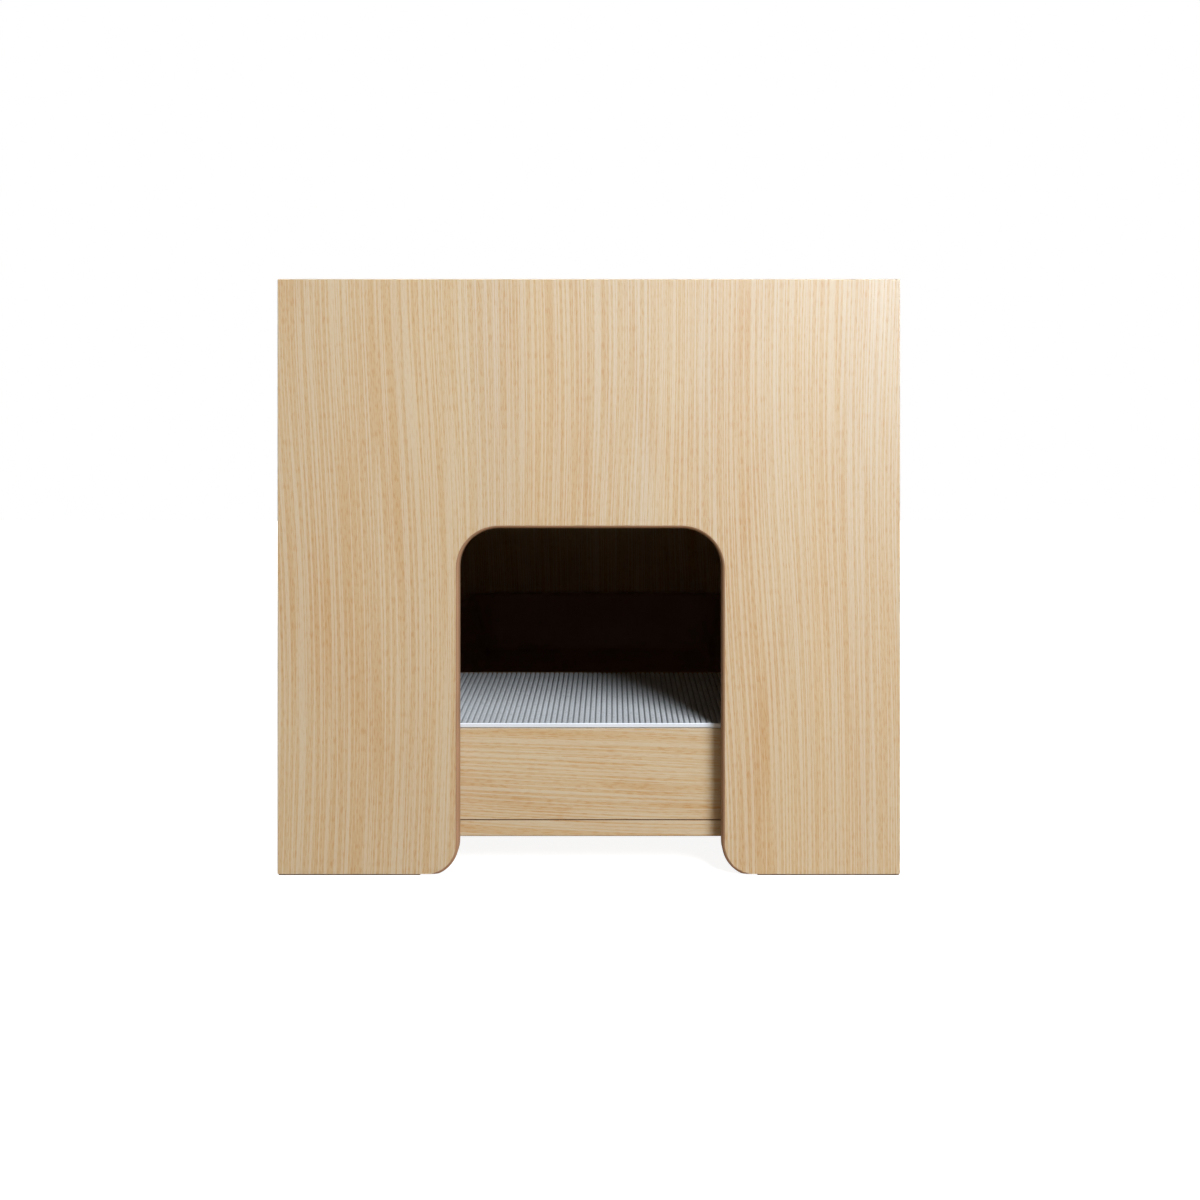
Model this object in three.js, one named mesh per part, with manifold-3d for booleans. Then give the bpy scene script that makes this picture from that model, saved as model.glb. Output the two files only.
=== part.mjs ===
// A cat litter box cabinet of oak-look laminate board. The cat walks in through an arch in the front
// end panel, over a step with a ribbed mat, to a litter pan in the chamber behind it. Two push-to-open
// doors on the right side give access to the mat and the pan.
// Millimetres, +Z up, origin on the floor at the middle of the footprint, the arch facing -Y.
import * as THREE from "three";
import { mergeVertices } from "three/addons/utils/BufferGeometryUtils.js";
import Module from "manifold-3d";

const wasm = await Module();
wasm.setup();

// ---- driving dimensions ------------------------------------------------------------------------
const WIDTH = 548; // X, over the end panels
const LENGTH = 700; // Y, over both end panels
const HEIGHT = 525; // Z, floor to top
const BOARD = 15; // laminate board
const GAP = 0.3; // between pieces that touch
const FELT = 1.2; // felt strips under the end panels
const SIDE_INSET = 2; // side, top and doors stand back from the end panels' edges

const ARCH_CENTER_X = 1.3; // the opening sits a little right of the middle
const ARCH_HALF_WIDTH = 118.5; // to the board's cut edge
const ARCH_TOP = 308; // the cut edge above the floor
const ARCH_RADIUS = 38; // top corners
const FOOT_RADIUS = 26; // where the opening flares out at the floor
const LIPPING = 2.5; // brown edging round the opening

const BASE_UNDERSIDE = 28.5; // clear height under the base panel
const STEP_TOP = 124.7; // top of the platform boards
const STEP_DEPTH = 179; // front board's face to rear board's face
const STEP_RIGHT = 254; // right end, clear of the doors

const MAT_THICKNESS = 4.4;
const MAT_SKIN = 1.7; // mat under the grooves
const RIB_COUNT = 100;
const RIB_PITCH = 5;
const RIB_WIDTH = 3;
const MAT_MARGIN = 3; // plain strip beside the outer ribs

const PAN_LENGTH = 470; // Y, over the rim
const PAN_WIDTH = 380; // X, over the rim
const PAN_HEIGHT = 81; // its rim is level with the step's deck
const PAN_WALL = 2.4;
const PAN_TAPER = 22; // the floor is this much smaller on each side
const PAN_RIM = 9; // width of the turned-out rim
const PAN_CORNER = 40; // corner radius at the rim

const DOOR_GAP = 2; // round each door
const HINGE_LENGTH = 50;
const HINGE_END = 60; // hinge's centre from the door's top or bottom
const KNUCKLE_RADIUS = 2.6;
const LEAF_THICKNESS = 1.2;
const PIN_RADIUS = 1.2;

const LATCH_OFFSET = 24; // from the meeting edges of the doors
const LATCH_SIZE = 14; // housing, square
const LATCH_LENGTH = 54;
const PLUNGER_RADIUS = 4.2;
const PLUNGER_LENGTH = 48;
const STRIKE_THICKNESS = 1.2;

const CAM_RADIUS = 7.2;
const CAM_DEPTH = 12;
const CAM_SETBACK = 24; // cam's centre from the board's edge
const CAM_X = 215; // connectors, either side of the middle
const BOLT_RADIUS = 3;
const BOLT_BITE = 10.5; // thread in the end panel
const DOWEL_RADIUS = 4;
const DOWEL_LENGTH = 30;
const DOWEL_Y = 240; // dowels, either side of the middle

// ---- places worked out from them ---------------------------------------------------------------
const frontFace = -LENGTH / 2;
const frontBack = frontFace + BOARD;
const rearFace = LENGTH / 2;
const rearFront = rearFace - BOARD;
const panelFoot = FELT + GAP;
const sideOuter = WIDTH / 2 - SIDE_INSET;
const sideInner = sideOuter - BOARD;
const insideFront = frontBack + GAP; // the long boards end this far from the middle
const insideRear = rearFront - GAP;
const topUnderside = HEIGHT - BOARD;
const baseTop = BASE_UNDERSIDE + BOARD;
const stepRear = insideFront + STEP_DEPTH;
const stepLeft = -sideInner + GAP + GAP;
const boreGap = GAP + 0.1; // round rods that sit in bores

// ---- materials ---------------------------------------------------------------------------------
const finish = (color, roughness, metalness = 0) =>
  new THREE.MeshStandardMaterial({ color, roughness, metalness });
const oak = finish(0xd1b58f, 0.55);
const lippingBrown = finish(0xb08a6a, 0.5);
const felt = finish(0x5d4740, 0.95);
const matGrey = finish(0xbcc0c4, 0.6);
const panGrey = finish(0x3a3c3e, 0.45);
const steel = finish(0xa9abad, 0.35, 0.9);
const latchPlastic = finish(0xe4e3df, 0.5);
const beech = finish(0xd8bd93, 0.7);
const zinc = finish(0x8e9092, 0.45, 0.8);

// ---- shapes ------------------------------------------------------------------------------------
function box(x0, x1, y0, y1, z0, z1) {
  return new THREE.BoxGeometry(x1 - x0, y1 - y0, z1 - z0)
    .translate((x0 + x1) / 2, (y0 + y1) / 2, (z0 + z1) / 2);
}

// An outline drawn in X and Z, given its thickness from y0 to y1.
function board(shape, y0, y1, curveSegments = 10) {
  return new THREE.ExtrudeGeometry(shape, { depth: y1 - y0, bevelEnabled: false, curveSegments })
    .rotateX(Math.PI / 2)
    .translate(0, y1, 0);
}

// A round rod from one point along an axis.
function rod(axis, radius, x, y, z, length, sides = 12) {
  const geometry = new THREE.CylinderGeometry(radius, radius, length, sides)
    .translate(0, length / 2, 0);
  if (axis === "x") geometry.rotateZ(-Math.PI / 2);
  if (axis === "z") geometry.rotateX(Math.PI / 2);
  return geometry.translate(x, y, z);
}

function solidOf(geometry) {
  const bare = geometry.clone();
  bare.deleteAttribute("normal");
  bare.deleteAttribute("uv");
  const merged = mergeVertices(bare, 1e-4);
  return new wasm.Manifold(new wasm.Mesh({
    numProp: 3,
    vertProperties: new Float32Array(merged.attributes.position.array),
    triVerts: new Uint32Array(merged.index.array),
  }));
}

function geometryOf(solid) {
  const mesh = solid.getMesh();
  return new THREE.BufferGeometry()
    .setAttribute("position", new THREE.BufferAttribute(mesh.vertProperties, 3))
    .setIndex(new THREE.BufferAttribute(mesh.triVerts, 1));
}

const cut = (geometry, tools) =>
  geometryOf(tools.reduce((solid, tool) => solid.subtract(solidOf(tool)), solidOf(geometry)));

const join = (pieces) =>
  geometryOf(pieces.slice(1).reduce((solid, p) => solid.add(solidOf(p)), solidOf(pieces[0])));

const cabinet = new THREE.Group();

function add(name, geometry, material) {
  const mesh = new THREE.Mesh(geometry, material);
  mesh.name = name;
  cabinet.add(mesh);
}

// ---- the arch ----------------------------------------------------------------------------------
// The opening's outline from the foot of its left side over the top to its right foot. `inset` moves
// it into the opening, so that the same curve draws the board's edge and the lipping's free edge.
function traceArch(path, inset) {
  const half = ARCH_HALF_WIDTH - inset;
  const top = ARCH_TOP - inset;
  const radius = ARCH_RADIUS - inset;
  const foot = FOOT_RADIUS + inset;
  const footX = ARCH_HALF_WIDTH + FOOT_RADIUS;
  const footZ = panelFoot + FOOT_RADIUS;
  // the flare stops where it meets the panel's lower edge
  const footAngle = Math.asin((footZ - panelFoot) / foot);
  path.absarc(ARCH_CENTER_X - footX, footZ, foot, -footAngle, 0, false);
  path.absarc(ARCH_CENTER_X - half + radius, top - radius, radius, Math.PI, Math.PI / 2, true);
  path.absarc(ARCH_CENTER_X + half - radius, top - radius, radius, Math.PI / 2, 0, true);
  path.absarc(ARCH_CENTER_X + footX, footZ, foot, Math.PI, Math.PI + footAngle, false);
}

function frontPanel() {
  const outline = new THREE.Shape();
  outline.moveTo(-WIDTH / 2, HEIGHT);
  outline.lineTo(-WIDTH / 2, panelFoot);
  traceArch(outline, 0);
  outline.lineTo(WIDTH / 2, panelFoot);
  outline.lineTo(WIDTH / 2, HEIGHT);
  outline.closePath();
  return board(outline, frontFace, frontBack);
}

function archLipping() {
  const steps = 10;
  const outer = new THREE.Path();
  traceArch(outer, GAP);
  const inner = new THREE.Path();
  traceArch(inner, LIPPING);
  const points = [...outer.getPoints(steps), ...inner.getPoints(steps).reverse()];
  return board(new THREE.Shape(points), frontFace, frontBack);
}

// The rear panel has the same feet as the front, with a low gap between them.
function rearPanel() {
  const footX = ARCH_HALF_WIDTH + FOOT_RADIUS;
  const footZ = panelFoot + FOOT_RADIUS;
  const outline = new THREE.Shape();
  outline.moveTo(-WIDTH / 2, HEIGHT);
  outline.lineTo(-WIDTH / 2, panelFoot);
  outline.absarc(-footX, footZ, FOOT_RADIUS, -Math.PI / 2, 0, false);
  outline.lineTo(-ARCH_HALF_WIDTH, BASE_UNDERSIDE);
  outline.lineTo(ARCH_HALF_WIDTH, BASE_UNDERSIDE);
  outline.absarc(footX, footZ, FOOT_RADIUS, Math.PI, Math.PI * 1.5, false);
  outline.lineTo(WIDTH / 2, panelFoot);
  outline.lineTo(WIDTH / 2, HEIGHT);
  outline.closePath();
  return board(outline, rearFront, rearFace);
}

// ---- cam connectors: a cam lock in the board's underside draws a bolt out of the end panel --------
const connectors = [];
for (const [level, underside] of [["top", topUnderside], ["base", BASE_UNDERSIDE]])
  for (const [end, side] of [["front", -1], ["rear", 1]])
    for (const [hand, x] of [["left", -CAM_X], ["right", CAM_X]])
      connectors.push({ level, end, side, underside, x, name: level + "_" + end + "_" + hand });

const camY = ({ side }) => side * (insideRear - CAM_SETBACK);
const boltZ = ({ underside }) => underside + BOARD / 2;

// A rod lying along Y from the end panel inwards.
function inwardRod(c, radius, from, to, sides) {
  const y0 = c.side < 0 ? from : -to;
  return rod("y", radius, c.x, y0, boltZ(c), to - from, sides);
}

const threadEnd = frontBack - BOLT_BITE;
const camFront = insideFront + CAM_SETBACK - CAM_RADIUS;

function camBolt(c) {
  const thread = inwardRod(c, BOLT_RADIUS - 0.4, threadEnd, frontBack, 8);
  const shank = inwardRod(c, BOLT_RADIUS, frontBack - 0.01, camFront - GAP, 8);
  const neck = inwardRod(c, BOLT_RADIUS - 1.2, camFront - 1, camFront + CAM_RADIUS - 3, 8);
  const head = inwardRod(c, BOLT_RADIUS - 0.2, camFront + CAM_RADIUS - 3.2, camFront + CAM_RADIUS, 8);
  return join([thread, shank, neck, head]);
}

function camLock(c) {
  const disc = rod("z", CAM_RADIUS, c.x, camY(c), c.underside, CAM_DEPTH, 10);
  const claw = inwardRod(c, BOLT_RADIUS + boreGap, camFront - 1, camFront + CAM_RADIUS + 0.6, 10);
  const slot = (dx, dy) =>
    box(c.x - dx, c.x + dx, camY(c) - dy, camY(c) + dy, c.underside - 1, c.underside + 2);
  return cut(disc, [claw, slot(4.5, 0.7), slot(0.7, 4.5)]);
}

// The holes for the connectors of one board, and those in an end panel.
const connectorBores = (level) =>
  connectors.filter((c) => c.level === level).flatMap((c) => [
    rod("z", CAM_RADIUS + boreGap, c.x, camY(c), c.underside - 1, CAM_DEPTH + 1 + GAP, 12),
    inwardRod(c, BOLT_RADIUS + boreGap, insideFront - 1, camFront + 1, 12),
  ]);
const endPanelBores = (end) =>
  connectors.filter((c) => c.end === end)
    .map((c) => inwardRod(c, BOLT_RADIUS + boreGap, threadEnd - boreGap, frontBack + 1, 16));

// ---- dowels: the left side panel's joints with the top and the base ------------------------------
const dowels = [];
for (const [end, y] of [["front", -DOWEL_Y], ["rear", DOWEL_Y]]) {
  const x = -(sideOuter + sideInner) / 2;
  const inSide = 9; // depth in the side panel's face
  dowels.push({ name: "dowel_top_" + end, make: (r, over) =>
    rod("z", r, x, y, topUnderside + 10 - DOWEL_LENGTH - over, DOWEL_LENGTH + 2 * over, 8) });
  dowels.push({ name: "dowel_base_" + end, make: (r, over) =>
    rod("x", r, -sideInner - inSide - over, y, BASE_UNDERSIDE + BOARD / 2,
      DOWEL_LENGTH + 2 * over, 8) });
}
const dowelBores = dowels.map((d) => d.make(DOWEL_RADIUS + boreGap, boreGap));

// ---- carcass -----------------------------------------------------------------------------------
add("front_panel", cut(frontPanel(), endPanelBores("front")), oak);
add("arch_lipping", archLipping(), lippingBrown);
add("rear_panel", cut(rearPanel(), endPanelBores("rear")), oak);
add("left_side_panel",
  cut(box(-sideOuter, -sideInner, insideFront, insideRear, BASE_UNDERSIDE, topUnderside - GAP),
    dowelBores), oak);
add("top_panel",
  cut(box(-sideOuter, sideOuter, insideFront, insideRear, topUnderside, HEIGHT),
    [...connectorBores("top"), ...dowelBores]), oak);
add("base_panel",
  cut(box(-sideInner + GAP, sideOuter, insideFront, insideRear, BASE_UNDERSIDE, baseTop),
    [...connectorBores("base"), ...dowelBores]), oak);
for (const c of connectors) {
  add("cam_lock_" + c.name, camLock(c), zinc);
  add("cam_bolt_" + c.name, camBolt(c), steel);
}
for (const d of dowels) add(d.name, d.make(DOWEL_RADIUS, 0), beech);

for (const [end, y0, y1] of [["front", frontFace, frontBack], ["rear", rearFront, rearFace]])
  for (const [hand, side] of [["left", -1], ["right", 1]]) {
    const outer = side * (WIDTH / 2 - 1);
    const inner = side * (ARCH_HALF_WIDTH + FOOT_RADIUS + 4);
    add("felt_foot_" + end + "_" + hand,
      box(Math.min(outer, inner), Math.max(outer, inner), y0 + 1, y1 - 1, 0, FELT), felt);
  }

// ---- platform: a low step behind the arch ---------------------------------------------------------
const stepFoot = baseTop + GAP;
const stepFrontBack = insideFront + BOARD;
const stepRearFront = stepRear - BOARD;
add("platform_front_board",
  box(stepLeft, STEP_RIGHT, insideFront, stepFrontBack, stepFoot, STEP_TOP), oak);
add("platform_rear_board",
  box(stepLeft, STEP_RIGHT, stepRearFront, stepRear, stepFoot, STEP_TOP), oak);
add("platform_deck",
  box(stepLeft, STEP_RIGHT, stepFrontBack + GAP, stepRearFront - GAP, STEP_TOP - BOARD, STEP_TOP),
  oak);
for (const [hand, x] of [["left", stepLeft], ["right", STEP_RIGHT - BOARD]])
  add("platform_end_" + hand,
    box(x, x + BOARD, stepFrontBack + GAP, stepRearFront - GAP, stepFoot, STEP_TOP - BOARD - GAP),
    oak);

// ---- ribbed mat on the platform -------------------------------------------------------------------
// The mat is drawn in columns across X: low ones under the grooves and high ones under the ribs.
function litterMat() {
  const bottom = STEP_TOP + GAP;
  const groove = bottom + MAT_SKIN;
  const ridge = bottom + MAT_THICKNESS;
  const y0 = insideFront;
  const y1 = stepRear - 1;
  const half = (RIB_COUNT * RIB_PITCH) / 2;
  const edges = [];
  for (let i = 0; i < RIB_COUNT; i++) {
    const left = i * RIB_PITCH - half + (RIB_PITCH - RIB_WIDTH) / 2;
    edges.push([left, left + RIB_WIDTH]);
  }
  const xs = [-half - MAT_MARGIN, ...edges.flat(), half + MAT_MARGIN];
  const positions = [];
  const quad = (...corners) => {
    const [a, b, c, d] = corners;
    positions.push(...a, ...b, ...c, ...a, ...c, ...d);
  };
  const ends = (x0, x1, z0, z1) => {
    quad([x0, y0, z0], [x1, y0, z0], [x1, y0, z1], [x0, y0, z1]);
    quad([x1, y1, z0], [x0, y1, z0], [x0, y1, z1], [x1, y1, z1]);
  };
  for (let i = 0; i < xs.length - 1; i++) {
    const x0 = xs[i], x1 = xs[i + 1];
    const isRib = i % 2 === 1;
    const top = isRib ? ridge : groove;
    quad([x0, y1, bottom], [x1, y1, bottom], [x1, y0, bottom], [x0, y0, bottom]);
    quad([x0, y0, top], [x1, y0, top], [x1, y1, top], [x0, y1, top]);
    ends(x0, x1, bottom, groove);
    if (isRib) {
      ends(x0, x1, groove, ridge);
      quad([x0, y1, groove], [x0, y0, groove], [x0, y0, ridge], [x0, y1, ridge]);
      quad([x1, y0, groove], [x1, y1, groove], [x1, y1, ridge], [x1, y0, ridge]);
    }
  }
  const left = xs[0], right = xs[xs.length - 1];
  quad([left, y1, bottom], [left, y0, bottom], [left, y0, groove], [left, y1, groove]);
  quad([right, y0, bottom], [right, y1, bottom], [right, y1, groove], [right, y0, groove]);
  const geometry = new THREE.BufferGeometry()
    .setAttribute("position", new THREE.Float32BufferAttribute(positions, 3));
  return mergeVertices(geometry, 1e-4);
}
add("litter_mat", litterMat(), matGrey);

// ---- litter pan in the chamber --------------------------------------------------------------------
// A ring of points round a rectangle with round corners.
function roundedRing(halfX, halfY, radius, z, steps = 4) {
  const ring = [];
  for (let corner = 0; corner < 4; corner++)
    for (let i = 0; i <= steps; i++) {
      const angle = (corner + i / steps) * (Math.PI / 2);
      const sx = corner === 0 || corner === 3 ? 1 : -1;
      const sy = corner < 2 ? 1 : -1;
      ring.push([
        sx * (halfX - radius) + radius * Math.cos(angle),
        sy * (halfY - radius) + radius * Math.sin(angle),
        z,
      ]);
    }
  return ring;
}

// A closed skin through a stack of rings, capped at the first and the last.
function skin(rings) {
  const n = rings[0].length;
  const middle = (ring) => [0, 0, ring[0][2]];
  const points = [...rings.flat(), middle(rings[0]), middle(rings[rings.length - 1])];
  const faces = [];
  const first = points.length - 2;
  const last = points.length - 1;
  for (let i = 0; i < n; i++) {
    const j = (i + 1) % n;
    faces.push(first, j, i);
    faces.push(last, (rings.length - 1) * n + i, (rings.length - 1) * n + j);
    for (let r = 0; r < rings.length - 1; r++) {
      const a = r * n + i, b = r * n + j, c = a + n, d = b + n;
      faces.push(a, b, d, a, d, c);
    }
  }
  return new THREE.BufferGeometry()
    .setAttribute("position", new THREE.Float32BufferAttribute(points.flat(), 3))
    .setIndex(faces);
}

const panFloor = baseTop + GAP;
const panY = (stepRear + insideRear) / 2;

function litterPan() {
  const x = PAN_WIDTH / 2;
  const y = PAN_LENGTH / 2;
  const at = (inset, z) => roundedRing(x - inset, y - inset, PAN_CORNER - inset / 2, z);
  const rim = PAN_HEIGHT;
  return skin([
    at(PAN_TAPER + PAN_RIM, 0),
    at(PAN_TAPER + PAN_RIM - 4, 3),
    at(PAN_RIM, rim - 6),
    at(0, rim - 6),
    at(0, rim),
    at(PAN_RIM + PAN_WALL, rim),
    at(PAN_TAPER + PAN_RIM - 4 + PAN_WALL, 3 + PAN_WALL),
    at(PAN_TAPER + PAN_RIM + PAN_WALL, PAN_WALL),
  ]).translate(0, panY, panFloor);
}
add("litter_pan", litterPan(), panGrey);

// Two low cleats on the base keep the pan in the middle.
const cleatInner = PAN_WIDTH / 2 - PAN_TAPER / 2;
for (const [hand, side] of [["left", -1], ["right", 1]]) {
  const a = side * cleatInner, b = side * (cleatInner + 12);
  add("pan_cleat_" + hand,
    box(Math.min(a, b), Math.max(a, b), panY - 110, panY + 110, stepFoot, stepFoot + 10), oak);
}

// ---- doors and their hinges -------------------------------------------------------------------------
// Everything on one door is drawn for the front door, and turned over in Y for the rear one.
const doorFoot = baseTop + DOOR_GAP;
const doorTop = topUnderside - DOOR_GAP;
const doorEdge = frontBack + DOOR_GAP; // the hinged edge
const pinX = WIDTH / 2 - KNUCKLE_RADIUS - 0.1;
const pinY = frontBack + GAP + KNUCKLE_RADIUS;
const leafInner = sideInner + 2;
const hingeCentres = [["lower", doorFoot + HINGE_END], ["upper", doorTop - HINGE_END]];
const knuckleHeight = (HINGE_LENGTH - 2 * GAP) / 4; // end knuckles; the middle one is twice as high

const turnOver = (geometry) => {
  const solid = solidOf(geometry);
  const mirrored = geometryOf(solid);
  mirrored.scale(1, -1, 1);
  const index = mirrored.index.array;
  for (let i = 0; i < index.length; i += 3) [index[i + 1], index[i + 2]] = [index[i + 2], index[i + 1]];
  return mirrored;
};
const onDoor = (end, geometry) => (end === "front" ? geometry : turnOver(geometry));

const upright = (radius, z0, z1, sides = 12) => rod("z", radius, pinX, pinY, z0, z1 - z0, sides);

function door() {
  const blank = box(sideInner, sideOuter, doorEdge, -DOOR_GAP / 2, doorFoot, doorTop);
  const pockets = hingeCentres.flatMap(([, z]) => {
    const z0 = z - HINGE_LENGTH / 2 - 1, z1 = z + HINGE_LENGTH / 2 + 2.5;
    return [
      upright(KNUCKLE_RADIUS + boreGap, z0, z1),
      box(leafInner - GAP, sideOuter + 1, doorEdge - 1, doorEdge + LEAF_THICKNESS + GAP, z0, z1),
    ];
  });
  return cut(blank, pockets);
}

function hingeBore(z) {
  return upright(PIN_RADIUS + boreGap, z - HINGE_LENGTH, z + HINGE_LENGTH, 10);
}

// The leaf on the end panel, with the top and bottom knuckles.
function fixedLeaf(z) {
  const z0 = z - HINGE_LENGTH / 2, z1 = z + HINGE_LENGTH / 2;
  const plate = box(leafInner, pinX, frontBack + GAP, frontBack + GAP + LEAF_THICKNESS, z0, z1);
  const middle = upright(KNUCKLE_RADIUS + boreGap, z0 + knuckleHeight, z1 - knuckleHeight);
  return cut(join([
    cut(plate, [middle]),
    upright(KNUCKLE_RADIUS, z0, z0 + knuckleHeight),
    upright(KNUCKLE_RADIUS, z1 - knuckleHeight, z1),
  ]), [hingeBore(z)]);
}

// The leaf on the door's edge, with the middle knuckle.
function doorLeaf(z) {
  const z0 = z - HINGE_LENGTH / 2, z1 = z + HINGE_LENGTH / 2;
  const plate = box(leafInner, pinX, doorEdge, doorEdge + LEAF_THICKNESS, z0, z1);
  const ends = [
    upright(KNUCKLE_RADIUS + boreGap, z0 - 1, z0 + knuckleHeight + GAP),
    upright(KNUCKLE_RADIUS + boreGap, z1 - knuckleHeight - GAP, z1 + 1),
  ];
  return cut(join([
    cut(plate, ends),
    upright(KNUCKLE_RADIUS, z0 + knuckleHeight + GAP, z1 - knuckleHeight - GAP),
  ]), [hingeBore(z)]);
}

function hingePin(z) {
  const z0 = z - HINGE_LENGTH / 2, z1 = z + HINGE_LENGTH / 2;
  return join([
    upright(PIN_RADIUS, z0, z1 + GAP + 0.1, 8),
    upright(KNUCKLE_RADIUS - 0.4, z1 + GAP, z1 + 1.4, 12),
  ]);
}

// ---- push latches under the top panel -----------------------------------------------------------------
const latchTop = topUnderside - GAP;
const latchZ = latchTop - LATCH_SIZE / 2;
const latchY = -LATCH_OFFSET;
const strikeX = sideInner - GAP - STRIKE_THICKNESS;
const plungerTip = strikeX - GAP;
const latchRear = plungerTip - 5 - LATCH_LENGTH;

function latchHousing() {
  const half = LATCH_SIZE / 2;
  const body = box(latchRear, latchRear + LATCH_LENGTH, latchY - half, latchY + half,
    latchTop - LATCH_SIZE, latchTop);
  const flange = box(latchRear + 12, latchRear + 30, latchY - half - 8, latchY + half + 8,
    latchTop - 2.5, latchTop);
  const bore = rod("x", PLUNGER_RADIUS + boreGap, latchRear + 2, latchY, latchZ, LATCH_LENGTH);
  return cut(join([body, flange]), [bore]);
}

const plunger = () =>
  rod("x", PLUNGER_RADIUS, plungerTip - PLUNGER_LENGTH, latchY, latchZ, PLUNGER_LENGTH);

const strikePlate = () =>
  box(strikeX, strikeX + STRIKE_THICKNESS, latchY - 9, latchY + 9, latchZ - 12, doorTop - 3);

for (const end of ["front", "rear"]) {
  add(end + "_door", onDoor(end, door()), oak);
  for (const [level, z] of hingeCentres) {
    const name = end + "_door_" + level;
    add("hinge_leaf_fixed_" + name, onDoor(end, fixedLeaf(z)), steel);
    add("hinge_leaf_" + name, onDoor(end, doorLeaf(z)), steel);
    add("hinge_pin_" + name, onDoor(end, hingePin(z)), steel);
  }
  add("latch_housing_" + end, onDoor(end, latchHousing()), latchPlastic);
  add("latch_plunger_" + end, onDoor(end, plunger()), latchPlastic);
  add("strike_plate_" + end, onDoor(end, strikePlate()), steel);
}

export default cabinet;
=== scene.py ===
import math

import bmesh
import bpy
import numpy as np
from bpy.props import FloatProperty, FloatVectorProperty, IntProperty, PointerProperty
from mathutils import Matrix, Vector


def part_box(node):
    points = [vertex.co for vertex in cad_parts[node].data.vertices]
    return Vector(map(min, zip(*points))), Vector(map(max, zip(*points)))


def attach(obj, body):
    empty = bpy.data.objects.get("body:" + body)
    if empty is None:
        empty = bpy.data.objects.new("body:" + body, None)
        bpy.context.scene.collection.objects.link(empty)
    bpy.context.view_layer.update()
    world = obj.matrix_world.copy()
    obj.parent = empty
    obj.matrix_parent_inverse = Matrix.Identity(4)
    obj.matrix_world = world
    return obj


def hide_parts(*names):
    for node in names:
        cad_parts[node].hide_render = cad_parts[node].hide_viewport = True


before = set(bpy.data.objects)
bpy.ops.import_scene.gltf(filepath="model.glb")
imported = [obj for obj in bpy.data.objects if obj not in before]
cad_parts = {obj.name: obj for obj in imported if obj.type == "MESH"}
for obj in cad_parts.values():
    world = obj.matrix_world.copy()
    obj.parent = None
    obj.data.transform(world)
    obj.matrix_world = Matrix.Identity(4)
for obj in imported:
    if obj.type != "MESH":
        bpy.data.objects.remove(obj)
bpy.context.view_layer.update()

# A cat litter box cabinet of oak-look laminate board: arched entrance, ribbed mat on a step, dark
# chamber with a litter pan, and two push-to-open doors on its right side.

bl_info = {
    "name": "Cat litter box cabinet",
    "version": (1, 0, 0),
    "blender": (4, 5, 0),
    "location": "3D Viewport > Sidebar > Litter Cabinet",
    "description": "Builds the boards, edging, mat, pan and fittings of a litter box cabinet",
    "category": "Add Mesh",
}

MM = 0.001
BODY = "cabinet"

# The photograph's frame, in pixels, and what it shows of the cabinet's front face.
IMAGE_SIZE = 1200
VANISHING_POINT = (612.5, 381.7)
FACE_LEFT, FACE_RIGHT, FACE_BOTTOM = 277.3, 900.3, 875.7
CAMERA_DISTANCE = 1.0  # from the front face, which sets the depth of the step

FRONT_LOW, FRONT_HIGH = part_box("front_panel")
FACE_WIDTH = FRONT_HIGH.x - FRONT_LOW.x
PANEL_FOOT = FRONT_LOW.z

# The arch, as the construction cuts it.
ARCH_CENTER = 1.3 * MM
ARCH_HALF = 118.5 * MM
ARCH_TOP = 308 * MM
ARCH_RADIUS = 38 * MM
FOOT_RADIUS = 26 * MM
LIPPING = 2.5 * MM
ARCH_STEPS = 28  # straight pieces in each of its quarter circles
REAR_FOOT_STEPS = 20


# ---- settings a user would change ---------------------------------------------------------------
def length(name, description, default):
    return FloatProperty(name=name, description=description, default=default, unit="LENGTH", min=0)


def colour(name, description, default):
    return FloatVectorProperty(
        name=name, description=description, default=default, subtype="COLOR", size=3, min=0, max=1
    )


class CABINET_PG_sizes(bpy.types.PropertyGroup):
    eased_edge: length("Eased edge", "Radius on the boards' long edges", 0.7 * MM)
    lower_edge: length("Base edge", "Radius on the base board's edges", 0.7 * MM)
    lipping_round: length("Lipping round", "Radius on the edging's front corners", 2.3 * MM)
    rib_count: IntProperty(name="Ribs", description="Ribs across the mat", default=100, min=2)
    rib_pitch: length("Rib pitch", "From one rib to the next", 5 * MM)
    groove_width: length("Groove width", "Width of the groove between two ribs", 2.8 * MM)
    groove_depth: length("Groove depth", "Depth of the groove between two ribs", 1.6 * MM)
    # the lip is the flat front strip that gets the mat's paler edge colour, which is painted light
    mat_lip: length("Mat lip", "Plain white edge along the mat's front", 1.1 * MM)
    pan_wall: length("Pan wall", "Thickness of the litter pan", 2.4 * MM)
    pan_taper: length("Pan taper", "How far the pan draws in towards its floor", 22 * MM)
    pan_rim: length("Pan rim", "Width of the pan's turned-out rim", 9 * MM)
    pan_corner: length("Pan corner", "Corner radius at the pan's rim", 40 * MM)
    screw_head: length("Screw head", "Radius of a countersunk screw's head", 2.4 * MM)


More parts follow.
